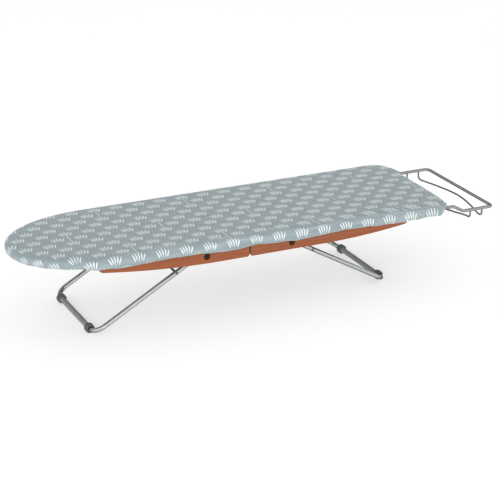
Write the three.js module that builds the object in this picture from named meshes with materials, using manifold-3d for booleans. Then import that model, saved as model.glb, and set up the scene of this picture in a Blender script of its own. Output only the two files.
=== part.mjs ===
// Table-top ironing board: a padded deck on wooden rails that folds in half upwards, two tubular
// legs that fold flat between the rails, and a wire iron rest on the square end.
// Millimetres, +Z up. The nose points along -X and the iron rest along +X. Z = 0 is the table.
import * as THREE from "three";
import { mergeVertices } from "three/addons/utils/BufferGeometryUtils.js";
import Module from "manifold-3d";

const wasm = await Module();
wasm.setup();

// ---- Driving dimensions ----
const GAP = 0.3; // clearance between pieces that touch

const DECK_LENGTH = 950;
const DECK_WIDTH = 300;
const DECK_TOP = 180;
const NOSE_LENGTH = 210; // the nose is half an ellipse this long
const COVER_CORNER = 32;
const PANEL_CORNER = 60;

const COVER_THICKNESS = 1;
const COVER_SHOULDER = 8;
const HEM_HEIGHT = 154;
const PANEL_TOP = 174;
const PANEL_BOTTOM = 166;
const PANEL_INSET = 4;
const FELT_INSET = 7.5;

const FOLD_AXIS = PANEL_TOP + 2.2; // height of the hinge pins
const RELIEF_ANGLE = THREE.MathUtils.degToRad(4.3); // slope of the padding down to the fold
const COVER_START = 5; // the covers and felts start this far from the fold line
const PANEL_START = 1;

const RAIL_OUTER = 141;
const RAIL_THICKNESS = 16;
const RAIL_BOTTOM = 130;
const RAIL_START = 2;
const RAIL_CORNER = 4;
const RAIL_TIP = 8; // rounding of the lower outer end
const RAIL_TRIM = 3;
// Where the lower edge ends and where it starts to rise, measured from the fold line.
const NOSE_RAIL = { length: 330, end: 148.5, bend: 191 };
const SQUARE_RAIL = { length: 372, end: 142.3, bend: 267 };

const PIVOT_X = 96.7;
const PIVOT_HEIGHT = 145.3;
const LEG_LENGTH = 275; // pivot to foot axis
const LEG_RADIUS = 5;
const LEG_Y = 117;
const LEG_BEND = 25;
const FOOT_RADIUS = 9.5; // height of the foot axis over the table
const FOOT_RING = { radius: 10, bore: LEG_RADIUS + GAP, inner: 80, outer: 91 };
const SLEEVE_RADIUS = 6;
const LEG_ANGLE = Math.asin((PIVOT_HEIGHT - FOOT_RADIUS) / LEG_LENGTH);

const BOLT_RADIUS = 2.5;
const BOLT_HEAD = { radius: 5.5, height: 3.5, socket: 1.8 };
const BOLT_INNER_END = 106.5;
const COUNTERBORE = { radius: 7.5, depth: 7 };
const TAB = { thickness: 5, halfWidth: 6.5, length: 26 };
const NUT = { radius: 4.6, inner: 109.6, outer: 114.2 };

const ROD_RADIUS = 2.5;
const CROSS_ROD_X = 68; // along the leg, from its pivot
const CROSS_ROD_END = 123.5;
const PROP_RADIUS = 2;
const PROP_LENGTH = 55.44;
const PROP_HALF_WIDTH = 40;
const PROP_BEND = 10;
const PROP_LEAN = THREE.MathUtils.degToRad(60); // angle of the opened prop over the horizontal
const PROP_EYE = { radius: 5.5, bore: 2.9, width: 8 };
const PROP_GUIDE = { start: 172, end: 230, bottom: 154.2, thickness: 1.3, foot: 14, width: 24 };

const HINGE_Y = 95;
const LEAF = { width: 40, start: 2.5, end: 25, thickness: 1.2, screwX: 16 };
const KNUCKLE = { radius: 2, bore: 1.2, middle: 6.7, outerStart: 7 };
const HINGE_PIN_RADIUS = 1;

const REST_RADIUS = 3.5;
const REST_END_X = 589;
const REST_Y = 138;
const REST_HEIGHT = 148;
const REST_ROOT_HEIGHT = 162;
const REST_ROOT = { start: 395, turn: 467.5, y: 110 };
const REST_JOGGLE = { top: 489, bottom: 514 };
const REST_BEND = 10;
const WIRE_HEIGHT = 129.5;
const WIRE_RADIUS = 2;
const OUTER_WIRE = { endX: 563, middleX: 586, y: 136.5 };
const INNER_WIRE = { endX: 533, middleX: 500, y: 137 };

const SADDLE = { start: 402, end: 418, foot: 9 };
const STRAP_THICKNESS = 1.3;
const LOCK = { radius: 3, height: 161, start: -66, tip: -4, knobX: -58, knobDrop: 16, foot: 8 };
const LOCK_GUIDE = { start: -30, end: -10 };
const LOCK_KEEPER = { start: 7, end: 19 };

const SCREW = { shank: 1.3, head: 3, headHeight: 1.6, length: 6.5, hole: 1.6 };

const REST_OUTER_X = REST_END_X + REST_RADIUS;
const CENTRE_X = (REST_OUTER_X - DECK_LENGTH / 2) / 2; // middle of the whole object from the fold line

// ---- Materials ----
const finish = (color, roughness, metalness) =>
  new THREE.MeshStandardMaterial({ color, roughness, metalness });
const WOOD = finish(0xa8643f, 0.45, 0);
const BOARD = finish(0xb79a72, 0.7, 0);
const FABRIC = finish(0x9ba6aa, 0.95, 0);
const FELT = finish(0xd9d6cf, 1, 0);
const POWDER_COAT = finish(0xb4b8ba, 0.4, 0.6);
const ZINC = finish(0xaeb0b2, 0.35, 0.9);
const BLACK_STEEL = finish(0x2a2a2c, 0.45, 0.7);
const GREY_PLASTIC = finish(0x6a7072, 0.6, 0);
const DARK_RUBBER = finish(0x2d3031, 0.8, 0);

// ---- Joining and cutting closed solids ----
function toSolid(geometry) {
  const bare = geometry.clone();
  bare.deleteAttribute("normal");
  bare.deleteAttribute("uv");
  const merged = mergeVertices(bare, 1e-3);
  const mesh = new wasm.Mesh({
    numProp: 3,
    vertProperties: merged.attributes.position.array,
    triVerts: new Uint32Array(merged.index.array),
  });
  return new wasm.Manifold(mesh);
}

function toGeometry(solid) {
  const mesh = solid.getMesh();
  const geometry = new THREE.BufferGeometry();
  geometry.setAttribute("position", new THREE.BufferAttribute(mesh.vertProperties, 3));
  geometry.setIndex(new THREE.BufferAttribute(mesh.triVerts, 1));
  geometry.computeVertexNormals();
  return geometry;
}

function cut(body, ...tools) {
  return toGeometry(tools.reduce((left, tool) => left.subtract(toSolid(tool)), toSolid(body)));
}

function join(first, ...others) {
  return toGeometry(others.reduce((sum, other) => sum.add(toSolid(other)), toSolid(first)));
}

function common(first, second) {
  return toGeometry(toSolid(first).intersect(toSolid(second)));
}

// ---- Basic shapes ----
function box(x0, x1, y0, y1, z0, z1) {
  const geometry = new THREE.BoxGeometry(x1 - x0, y1 - y0, z1 - z0);
  return geometry.translate((x0 + x1) / 2, (y0 + y1) / 2, (z0 + z1) / 2);
}

// A flat outline in X and Y, extruded upwards.
function slab(shape, bottom, top, curveSegments) {
  const options = { depth: top - bottom, bevelEnabled: false, curveSegments };
  return new THREE.ExtrudeGeometry(shape, options).translate(0, 0, bottom);
}

// An outline in X and Z, extruded along Y.
function prismAlongY(shape, y0, y1, curveSegments = 8) {
  const options = { depth: y1 - y0, bevelEnabled: false, curveSegments };
  return new THREE.ExtrudeGeometry(shape, options).rotateX(Math.PI / 2).translate(0, y1, 0);
}

// An outline in Y and Z, extruded along X.
function prismAlongX(shape, x0, x1, curveSegments = 6) {
  const options = { depth: x1 - x0, bevelEnabled: false, curveSegments };
  const geometry = new THREE.ExtrudeGeometry(shape, options);
  return geometry.rotateX(Math.PI / 2).rotateZ(Math.PI / 2).translate(x0, 0, 0);
}

function rodAlongY(radius, y0, y1, sides = 16) {
  const geometry = new THREE.CylinderGeometry(radius, radius, y1 - y0, sides);
  return geometry.translate(0, (y0 + y1) / 2, 0);
}

// A ring or shaft turned about Y from [radius, y] pairs.
function turned(profile, sides = 24) {
  return new THREE.LatheGeometry(profile.map(([radius, y]) => new THREE.Vector2(radius, y)), sides);
}

function ringAlongY(bore, radius, y0, y1, sides = 24) {
  return turned([[bore, y0], [radius, y0], [radius, y1], [bore, y1], [bore, y0]], sides);
}

// ---- Rods and tubes along bent centre lines ----
const BEND_STEP = THREE.MathUtils.degToRad(18);

class Bent extends THREE.Curve {
  constructor(points) {
    super();
    this.points = points;
  }

  station(u) {
    return Math.round(u * (this.points.length - 1));
  }

  getPointAt(u, target = new THREE.Vector3()) {
    return target.copy(this.points[this.station(u)]);
  }

  getTangentAt(u, target = new THREE.Vector3()) {
    const here = this.station(u);
    const before = this.points[Math.max(here - 1, 0)];
    const at = this.points[here];
    const after = this.points[Math.min(here + 1, this.points.length - 1)];
    const incoming = at.clone().sub(before).normalize();
    const outgoing = after.clone().sub(at).normalize();
    return target.copy(incoming.add(outgoing).normalize());
  }
}

// Turns corner points into a centre line with round bends.
function bend(corners, radius) {
  const points = [corners[0].clone()];
  for (let i = 1; i < corners.length - 1; i++) {
    const back = corners[i - 1].clone().sub(corners[i]).normalize();
    const ahead = corners[i + 1].clone().sub(corners[i]).normalize();
    const halfAngle = back.angleTo(ahead) / 2;
    const setback = radius / Math.tan(halfAngle);
    const inward = back.clone().add(ahead).normalize();
    const centre = corners[i].clone().addScaledVector(inward, radius / Math.sin(halfAngle));
    const start = corners[i].clone().addScaledVector(back, setback).sub(centre);
    const turn = Math.PI - 2 * halfAngle;
    const steps = Math.ceil(turn / BEND_STEP);
    const axis = ahead.clone().cross(back).normalize();
    for (let step = 0; step <= steps; step++) {
      points.push(start.clone().applyAxisAngle(axis, (turn * step) / steps).add(centre));
    }
  }
  points.push(corners.at(-1).clone());
  return points;
}

function bentRod(points, radius, sides = 12) {
  const circle = [];
  for (let side = 0; side < sides; side++) {
    const angle = (2 * Math.PI * side) / sides;
    circle.push(new THREE.Vector2(radius * Math.cos(angle), radius * Math.sin(angle)));
  }
  const options = { extrudePath: new Bent(points), steps: points.length - 1, bevelEnabled: false };
  return new THREE.ExtrudeGeometry(new THREE.Shape(circle), options);
}

const point = (x, y, z) => new THREE.Vector3(x, y, z);

// ---- Deck outlines: side is -1 for the nose half and +1 for the square half ----
const curveSteps = (side) => (side < 0 ? 13 : 5); // the nose is one long curve, a corner a short one

function deckOutline(side, inset, start, corner) {
  const halfWidth = DECK_WIDTH / 2 - inset;
  const end = DECK_LENGTH / 2;
  const outline = new THREE.Shape();
  outline.moveTo(side * start, -side * halfWidth);
  if (side < 0) {
    const centre = NOSE_LENGTH - end;
    const length = NOSE_LENGTH - inset;
    outline.lineTo(centre, halfWidth);
    outline.absellipse(centre, 0, length, halfWidth, Math.PI / 2, 1.5 * Math.PI, false, 0);
  } else {
    const radius = corner - inset;
    const x = end - corner;
    const y = DECK_WIDTH / 2 - corner;
    outline.lineTo(x, -halfWidth);
    outline.absarc(x, -y, radius, -Math.PI / 2, 0, false);
    outline.absarc(x, y, radius, 0, Math.PI / 2, false);
  }
  outline.lineTo(side * start, side * halfWidth);
  return outline;
}

// The deck with a rounded shoulder round its top edge, from below the hem up to top.
function roundedDeck(side, inset, top) {
  const shoulder = COVER_SHOULDER - inset;
  const outline = deckOutline(side, COVER_SHOULDER, -3 * COVER_SHOULDER, COVER_CORNER);
  const bottom = HEM_HEIGHT - 3 * COVER_SHOULDER;
  const geometry = new THREE.ExtrudeGeometry(outline, {
    depth: top - shoulder - bottom,
    bevelSize: shoulder,
    bevelThickness: shoulder,
    bevelSegments: 3,
    curveSegments: curveSteps(side),
  });
  return geometry.translate(0, 0, bottom);
}

// What is taken off the padding so that the two halves close face to face about the hinge pins.
function foldRelief(side, drop) {
  const span = (DECK_TOP - FOLD_AXIS) / Math.tan(RELIEF_ANGLE);
  const low = FOLD_AXIS - drop;
  const high = DECK_TOP - drop;
  const wedge = new THREE.Shape();
  wedge.moveTo(-side, low);
  wedge.lineTo(0, low);
  wedge.lineTo(side * span, high);
  wedge.lineTo(side * span, high + COVER_SHOULDER);
  wedge.lineTo(-side, high + COVER_SHOULDER);
  return prismAlongY(wedge, -DECK_WIDTH, DECK_WIDTH);
}

function boxBeside(side, near, far, y0, y1, z0, z1) {
  return box(Math.min(side * near, side * far), Math.max(side * near, side * far), y0, y1, z0, z1);
}

// ---- Deck ----
function cover(side) {
  const reach = 4 * COVER_SHOULDER;
  const outer = cut(roundedDeck(side, 0, DECK_TOP), foldRelief(side, 0));
  const lining = roundedDeck(side, COVER_THICKNESS, DECK_TOP - COVER_THICKNESS);
  const inner = cut(lining, foldRelief(side, COVER_THICKNESS));
  const below = box(-DECK_LENGTH, DECK_LENGTH, -DECK_WIDTH, DECK_WIDTH, 0, HEM_HEIGHT);
  const beyond = boxBeside(side, -reach, COVER_START, -DECK_WIDTH, DECK_WIDTH, 0, 2 * DECK_TOP);
  const tools = [inner, below, beyond];
  if (side > 0) {
    // Slots that the arms of the iron rest come out through.
    const room = REST_RADIUS + 2 * GAP;
    for (const s of [-1, 1]) {
      const slot = boxBeside(1, REST_ROOT.turn - room, DECK_LENGTH,
        Math.min(s * (REST_Y - REST_BEND), s * (REST_Y + room)),
        Math.max(s * (REST_Y - REST_BEND), s * (REST_Y + room)), 0, REST_ROOT_HEIGHT + room);
      tools.push(slot);
    }
  }
  return cut(outer, ...tools);
}

function felt(side) {
  const top = DECK_TOP - COVER_THICKNESS - GAP;
  const outline = deckOutline(side, FELT_INSET, COVER_START, PANEL_CORNER);
  const pad = slab(outline, PANEL_TOP + GAP, top, curveSteps(side));
  const pockets = [-HINGE_Y, HINGE_Y].map((y) => {
    const half = LEAF.width / 2 + 2;
    return boxBeside(side, -1, LEAF.end + 2, y - half, y + half, PANEL_TOP, DECK_TOP);
  });
  return cut(pad, foldRelief(side, COVER_THICKNESS + GAP), ...pockets);
}

function panel(side, screwPoints) {
  const outline = deckOutline(side, PANEL_INSET, PANEL_START, PANEL_CORNER);
  const board = slab(outline, PANEL_BOTTOM, PANEL_TOP, curveSteps(side));
  const pilots = screwPoints.map(([x, y]) => {
    const pilot = rodAlongY(SCREW.hole, PANEL_BOTTOM - 1, PANEL_TOP + 1, 12);
    return pilot.rotateX(Math.PI / 2).translate(x, y, 0);
  });
  return cut(board, ...pilots);
}

// One rail on the +Y side; the other is its mirror image.
function rail(side) {
  const { length, end, bend: rise } = side < 0 ? NOSE_RAIL : SQUARE_RAIL;
  const top = PANEL_BOTTOM - GAP;
  const profile = new THREE.Shape();
  profile.moveTo(side * RAIL_START, top);
  profile.lineTo(side * RAIL_START, RAIL_BOTTOM + RAIL_CORNER);
  profile.quadraticCurveTo(
    side * RAIL_START, RAIL_BOTTOM,
    side * (RAIL_START + RAIL_CORNER), RAIL_BOTTOM,
  );
  const tip = length - RAIL_TIP;
  profile.lineTo(side * (2 * rise - tip), RAIL_BOTTOM);
  profile.quadraticCurveTo(side * rise, RAIL_BOTTOM, side * tip, end);
  profile.quadraticCurveTo(side * length, end + 1, side * length, end + RAIL_TIP);
  profile.lineTo(side * length, top);
  const bar = prismAlongY(profile, RAIL_OUTER - RAIL_THICKNESS, RAIL_OUTER, 12);
  const deck = slab(deckOutline(side, RAIL_TRIM, 0, PANEL_CORNER), 0, DECK_TOP, 2 * curveSteps(side));
  const seat = rodAlongY(COUNTERBORE.radius, RAIL_OUTER - COUNTERBORE.depth, RAIL_OUTER + 1, 24);
  const hole = rodAlongY(BOLT_RADIUS + GAP, 0, RAIL_OUTER + 1);
  for (const tool of [seat, hole]) tool.translate(side * PIVOT_X, 0, PIVOT_HEIGHT);
  return cut(common(bar, deck), seat, hole);
}

// ---- Centre hinges ----
function hingeLeaf(side) {
  const half = LEAF.width / 2;
  const bottom = PANEL_TOP - FOLD_AXIS;
  const top = bottom + LEAF.thickness;
  const spans = side < 0
    ? [[-half, -KNUCKLE.outerStart], [KNUCKLE.outerStart, half]]
    : [[-KNUCKLE.middle, KNUCKLE.middle]];
  const pieces = [boxBeside(side, LEAF.start, LEAF.end, -half, half, bottom, top)];
  for (const [y0, y1] of spans) {
    pieces.push(boxBeside(side, 0, LEAF.start + 1, y0, y1, bottom, top));
    pieces.push(rodAlongY(KNUCKLE.radius + 0.1, y0, y1));
  }
  const bore = rodAlongY(KNUCKLE.bore, -half - 1, half + 1, 12);
  const sink = turned([[0, -2], [SCREW.hole, -2], [SCREW.hole, -1.2], [SCREW.head, 0.3], [0, 0.3]]);
  sink.rotateX(Math.PI / 2).translate(side * LEAF.screwX, 0, top);
  return cut(join(...pieces), bore, sink);
}

// Countersunk, its head flush with the leaf.
function hingeScrew() {
  const slope = SCREW.head - GAP;
  const profile = [[0, -5], [SCREW.shank, -4], [SCREW.shank, -1.3], [slope, 0], [0, 0]];
  return turned(profile, 12).rotateX(Math.PI / 2);
}

// ---- Legs, built in the leg's own frame: the pivot is the origin and the leg runs along +X ----
function legTube() {
  const start = TAB.length - 6;
  const corners = [
    point(start, -LEG_Y, 0),
    point(LEG_LENGTH, -LEG_Y, 0),
    point(LEG_LENGTH, LEG_Y, 0),
    point(start, LEG_Y, 0),
  ];
  const tube = bentRod(bend(corners, LEG_BEND), LEG_RADIUS, 12);
  const flat = new THREE.Shape();
  flat.moveTo(TAB.length, -LEG_RADIUS + 1);
  flat.lineTo(TAB.length, LEG_RADIUS - 1);
  flat.lineTo(TAB.length - 14, TAB.halfWidth);
  flat.absarc(0, 0, TAB.halfWidth, Math.PI / 2, 1.5 * Math.PI, false);
  flat.lineTo(TAB.length - 14, -TAB.halfWidth);
  const half = TAB.thickness / 2;
  const tabs = [-LEG_Y, LEG_Y].map((y) => prismAlongY(flat, y - half, y + half));
  const reach = LEG_Y + 2 * LEG_RADIUS;
  const pivotHole = rodAlongY(BOLT_RADIUS + GAP, -reach, reach);
  const rodHole = rodAlongY(ROD_RADIUS + GAP, -reach, reach).translate(CROSS_ROD_X, 0, 0);
  return cut(join(tube, ...tabs), pivotHole, rodHole);
}

// Round rubber ring with a flat that stands on the table.
function footRing() {
  const { radius, bore, inner, outer } = FOOT_RING;
  const chamfer = 1.5;
  const profile = [
    [bore, inner],
    [radius, inner],
    [radius, outer - chamfer],
    [radius - chamfer, outer],
    [bore, outer],
    [bore, inner],
  ];
  const ground = box(-radius, radius, 0, 2 * outer, -2 * radius, -FOOT_RADIUS);
  return cut(turned(profile), ground).rotateY(-LEG_ANGLE);
}

function prop() {
  const eyes = [-PROP_HALF_WIDTH, PROP_HALF_WIDTH].map((y) => {
    const half = PROP_EYE.width / 2;
    return ringAlongY(PROP_EYE.bore, PROP_EYE.radius, y - half, y + half, 16);
  });
  const start = PROP_EYE.bore + 1.2;
  const corners = [
    point(start, -PROP_HALF_WIDTH, 0),
    point(PROP_LENGTH, -PROP_HALF_WIDTH, 0),
    point(PROP_LENGTH, PROP_HALF_WIDTH, 0),
    point(start, PROP_HALF_WIDTH, 0),
  ];
  return join(bentRod(bend(corners, PROP_BEND), PROP_RADIUS, 8), ...eyes);
}

// Strap under the panel that the prop's end bar slides through.
function propGuide() {
  const { start, end, bottom, thickness, foot, width } = PROP_GUIDE;
  const top = PANEL_BOTTOM - GAP;
  const outline = new THREE.Shape();
  outline.moveTo(start - foot, top);
  outline.lineTo(start - foot, top - thickness);
  outline.lineTo(start, top - thickness);
  outline.lineTo(start, bottom);
  outline.lineTo(end, bottom);
  outline.lineTo(end, top - thickness);
  outline.lineTo(end + foot, top - thickness);
  outline.lineTo(end + foot, top);
  outline.lineTo(end - thickness, top);
  outline.lineTo(end - thickness, bottom + thickness);
  outline.lineTo(start + thickness, bottom + thickness);
  outline.lineTo(start + thickness, top);
  const strap = prismAlongY(outline, -width / 2, width / 2);
  return cut(strap, ...propGuideScrews.map(([x, y]) => screwHole(x, y)));
}

// ---- Fasteners ----
function pivotBolt() {
  const seat = RAIL_OUTER - COUNTERBORE.depth + GAP;
  const top = seat + BOLT_HEAD.height;
  const profile = [
    [0, BOLT_INNER_END],
    [BOLT_RADIUS, BOLT_INNER_END],
    [BOLT_RADIUS, seat],
    [BOLT_HEAD.radius, seat],
    [BOLT_HEAD.radius, top - 1],
    [BOLT_HEAD.radius - 1, top],
    [0, top],
  ];
  const socket = new THREE.CylinderGeometry(BOLT_HEAD.socket, BOLT_HEAD.socket, 4, 6);
  return cut(turned(profile, 16), socket.translate(0, top, 0));
}

function pivotSpacer() {
  const inner = LEG_Y + TAB.thickness / 2 + GAP;
  return ringAlongY(BOLT_RADIUS + GAP, 6, inner, RAIL_OUTER - RAIL_THICKNESS - GAP);
}

function pivotNut() {
  const body = new THREE.CylinderGeometry(NUT.radius, NUT.radius, NUT.outer - NUT.inner, 6);
  body.translate(0, (NUT.inner + NUT.outer) / 2, 0);
  return cut(body, rodAlongY(BOLT_RADIUS + GAP / 2, NUT.inner - 1, NUT.outer + 1));
}

// Pan-head screw driven upwards, its head under z = 0.
function screw() {
  const { shank, head, headHeight, length } = SCREW;
  const profile = [
    [0, -headHeight],
    [head - 1, -headHeight],
    [head, 0],
    [shank, 0],
    [shank, length - 1.5],
    [0, length],
  ];
  return turned(profile, 12).rotateX(Math.PI / 2);
}

function screwHole(x, y) {
  const hole = rodAlongY(SCREW.hole, 0, DECK_TOP, 12);
  return hole.rotateX(Math.PI / 2).translate(x, y, 0);
}

// ---- Straps that hug a rod from below ----
function saddle(radius, height, foot, x0, x1) {
  const bore = radius + GAP;
  const outer = bore + STRAP_THICKNESS;
  const top = PANEL_BOTTOM - GAP;
  const outline = new THREE.Shape();
  outline.moveTo(-outer - foot, top);
  outline.lineTo(-outer - foot, top - STRAP_THICKNESS);
  outline.lineTo(-outer, top - STRAP_THICKNESS);
  outline.absarc(0, height, outer, Math.PI, 2 * Math.PI, false);
  outline.lineTo(outer, top - STRAP_THICKNESS);
  outline.lineTo(outer + foot, top - STRAP_THICKNESS);
  outline.lineTo(outer + foot, top);
  outline.lineTo(bore, top);
  outline.absarc(0, height, bore, 2 * Math.PI, Math.PI, true);
  outline.lineTo(-bore, top);
  return prismAlongX(outline, x0, x1);
}

const saddleScrewOffset = (radius, foot) => radius + GAP + STRAP_THICKNESS + foot / 2;

function restSaddle(y) {
  const strap = saddle(REST_RADIUS, REST_ROOT_HEIGHT, SADDLE.foot, SADDLE.start, SADDLE.end);
  strap.translate(0, y, 0);
  const holes = saddleScrews.filter((place) => Math.sign(place[1]) === Math.sign(y));
  return cut(strap, ...holes.map((place) => screwHole(...place)));
}

// ---- Iron rest ----
function restFrame() {
  const { start, turn, y } = REST_ROOT;
  const arm = (s) => [
    point(start, s * y, REST_ROOT_HEIGHT),
    point(turn, s * y, REST_ROOT_HEIGHT),
    point(turn, s * REST_Y, REST_ROOT_HEIGHT),
    point(REST_JOGGLE.top, s * REST_Y, REST_ROOT_HEIGHT),
    point(REST_JOGGLE.bottom, s * REST_Y, REST_HEIGHT),
    point(REST_END_X, s * REST_Y, REST_HEIGHT),
  ];
  return bentRod(bend([...arm(-1), ...arm(1).reverse()], REST_BEND), REST_RADIUS, 10);
}

// A wire that hangs under both arms of the rest and bows along X between them.
function restWire({ endX, middleX, y }) {
  const top = REST_HEIGHT - REST_RADIUS - GAP;
  const turn = 8;
  const spanPoints = 10;
  const corner = point(endX, -y, WIRE_HEIGHT);
  const reach = y - 2 * turn;
  const bow = [];
  for (let i = 0; i <= spanPoints; i++) {
    const across = (2 * i) / spanPoints - 1;
    const x = middleX + (endX - middleX) * Math.abs(across) ** 1.6;
    bow.push(point(x, across * reach, WIRE_HEIGHT));
  }
  const lead = bend([point(endX, -y, top), corner, bow[0]], turn);
  const tail = lead.map((p) => point(p.x, -p.y, p.z)).reverse();
  return bentRod([...lead, ...bow.slice(1, -1), ...tail], WIRE_RADIUS, 8);
}

// ---- Lock bolt across the fold ----
function lockBolt() {
  const shaft = rodAlongY(LOCK.radius, LOCK.start, LOCK.tip, 16).rotateZ(-Math.PI / 2);
  const profile = [
    [0, -LOCK.knobDrop],
    [2, -LOCK.knobDrop],
    [3.2, -14],
    [3.2, -10],
    [1.8, -9],
    [1.8, 0],
    [0, 0],
  ];
  const knob = turned(profile, 12);
  return join(shaft, knob.rotateX(Math.PI / 2).translate(LOCK.knobX, 0, 0));
}

function lockStrap({ start, end }) {
  const strap = saddle(LOCK.radius, LOCK.height, LOCK.foot, start, end);
  const screws = lockScrews.filter(([x]) => x > start && x < end);
  return cut(strap, ...screws.map((place) => screwHole(...place)));
}

// ---- Where the screws go ----
const propGuideScrews = [
  [PROP_GUIDE.start - PROP_GUIDE.foot / 2, 0],
  [PROP_GUIDE.end + PROP_GUIDE.foot / 2, 0],
];
const saddleY = saddleScrewOffset(REST_RADIUS, SADDLE.foot);
const saddleX = (SADDLE.start + SADDLE.end) / 2;
const saddleScrews = [-1, 1].map((s) => [saddleX, s * (REST_ROOT.y - saddleY)]);
const lockY = saddleScrewOffset(LOCK.radius, LOCK.foot);
const lockScrews = [LOCK_GUIDE, LOCK_KEEPER].flatMap(({ start, end }) =>
  [-lockY, lockY].map((y) => [(start + end) / 2, y]));
const hingeScrews = [-HINGE_Y, HINGE_Y].map((y) => [LEAF.screwX, y]);

// ---- Assembly ----
const board = new THREE.Group();
board.position.x = -CENTRE_X;

function add(parent, name, geometry, material, x = 0, y = 0, z = 0) {
  const mesh = new THREE.Mesh(geometry, material);
  mesh.name = name;
  mesh.position.set(x, y, z);
  parent.add(mesh);
  return mesh;
}

const SIDES = { front: -1, back: 1 };

for (const [half, side] of [["nose", -1], ["square", 1]]) {
  const mirror = ([x, y]) => [side * x, y];
  const ownLockScrews = lockScrews.filter(([x]) => Math.sign(x) === side);
  const pilots = [
    ...propGuideScrews.map(mirror),
    ...hingeScrews.map(mirror),
    ...(side > 0 ? saddleScrews : []),
    ...ownLockScrews,
  ];
  add(board, `${half}_panel`, panel(side, pilots), BOARD);
  add(board, `${half}_felt`, felt(side), FELT);
  add(board, `${half}_cover`, cover(side), FABRIC);
  for (const [place, s] of Object.entries(SIDES)) {
    add(board, `${half}_rail_${place}`, rail(side), WOOD).scale.y = s;
    add(board, `hinge_leaf_${half}_${place}`, hingeLeaf(side), ZINC, 0, s * HINGE_Y, FOLD_AXIS);
    add(board, `hinge_screw_${half}_${place}`, hingeScrew(), ZINC,
      side * LEAF.screwX, s * HINGE_Y, PANEL_TOP + LEAF.thickness);
  }

  // Everything under this half is the same on both, and mirrored on the nose half.
  const under = new THREE.Group();
  under.scale.x = side;
  board.add(under);
  add(under, `${half}_prop_guide`, propGuide(), ZINC);
  propGuideScrews.forEach(([x, y], i) => {
    const height = PANEL_BOTTOM - GAP - PROP_GUIDE.thickness;
    add(under, `${half}_prop_guide_screw_${i ? "outer" : "inner"}`, screw(), ZINC, x, y, height);
  });
  for (const [place, s] of Object.entries(SIDES)) {
    const fasteners = new THREE.Group();
    fasteners.position.set(PIVOT_X, 0, PIVOT_HEIGHT);
    fasteners.scale.y = s;
    under.add(fasteners);
    add(fasteners, `${half}_pivot_bolt_${place}`, pivotBolt(), BLACK_STEEL);
    add(fasteners, `${half}_pivot_spacer_${place}`, pivotSpacer(), GREY_PLASTIC);
    add(fasteners, `${half}_pivot_nut_${place}`, pivotNut(), ZINC);
  }

  const leg = new THREE.Group();
  leg.position.set(PIVOT_X, 0, PIVOT_HEIGHT);
  leg.rotation.y = LEG_ANGLE;
  under.add(leg);
  add(leg, `${half}_leg_tube`, legTube(), POWDER_COAT);
  const sleeveEnd = FOOT_RING.inner - GAP;
  const sleeve = ringAlongY(FOOT_RING.bore, SLEEVE_RADIUS, -sleeveEnd, sleeveEnd, 20);
  add(leg, `${half}_foot_sleeve`, sleeve, GREY_PLASTIC, LEG_LENGTH);
  for (const [place, s] of Object.entries(SIDES)) {
    add(leg, `${half}_foot_ring_${place}`, footRing(), DARK_RUBBER, LEG_LENGTH).scale.y = s;
  }
  const crossRod = rodAlongY(ROD_RADIUS, -CROSS_ROD_END, CROSS_ROD_END, 12);
  add(leg, `${half}_cross_rod`, crossRod, ZINC, CROSS_ROD_X);
  add(leg, `${half}_prop`, prop(), ZINC, CROSS_ROD_X).rotation.y = -(LEG_ANGLE + PROP_LEAN);
}

for (const [place, s] of Object.entries(SIDES)) {
  const pin = rodAlongY(HINGE_PIN_RADIUS, -LEAF.width / 2, LEAF.width / 2, 12);
  add(board, `hinge_pin_${place}`, pin, ZINC, 0, s * HINGE_Y, FOLD_AXIS);
  add(board, `rest_saddle_${place}`, restSaddle(s * REST_ROOT.y), ZINC);
  const [x, y] = saddleScrews.find((spot) => Math.sign(spot[1]) === s);
  add(board, `rest_saddle_screw_${place}`, screw(), ZINC, x, y,
    PANEL_BOTTOM - GAP - STRAP_THICKNESS);
}
add(board, "rest_frame", restFrame(), POWDER_COAT);
add(board, "rest_wire_outer", restWire(OUTER_WIRE), POWDER_COAT);
add(board, "rest_wire_inner", restWire(INNER_WIRE), POWDER_COAT);
add(board, "lock_guide", lockStrap(LOCK_GUIDE), ZINC);
add(board, "lock_keeper", lockStrap(LOCK_KEEPER), ZINC);
add(board, "lock_bolt", lockBolt(), ZINC, 0, 0, LOCK.height);

export default board;
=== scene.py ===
# Looks for the table-top ironing board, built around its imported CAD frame. Metres, +Z up, nose along -X.
import math

import bmesh
import bpy
import numpy as np
from mathutils import Matrix, Vector


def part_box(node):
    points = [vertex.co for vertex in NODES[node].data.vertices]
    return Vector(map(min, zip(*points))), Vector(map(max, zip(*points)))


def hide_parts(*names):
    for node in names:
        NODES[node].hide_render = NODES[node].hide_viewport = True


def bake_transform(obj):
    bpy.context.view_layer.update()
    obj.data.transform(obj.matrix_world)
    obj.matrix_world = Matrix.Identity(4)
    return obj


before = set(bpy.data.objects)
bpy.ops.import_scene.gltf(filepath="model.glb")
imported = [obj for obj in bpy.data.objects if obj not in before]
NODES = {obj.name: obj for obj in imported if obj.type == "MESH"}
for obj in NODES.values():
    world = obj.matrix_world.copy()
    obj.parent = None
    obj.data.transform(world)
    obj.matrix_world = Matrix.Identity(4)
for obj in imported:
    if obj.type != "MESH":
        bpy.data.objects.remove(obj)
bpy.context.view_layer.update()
MM = 0.001

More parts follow.
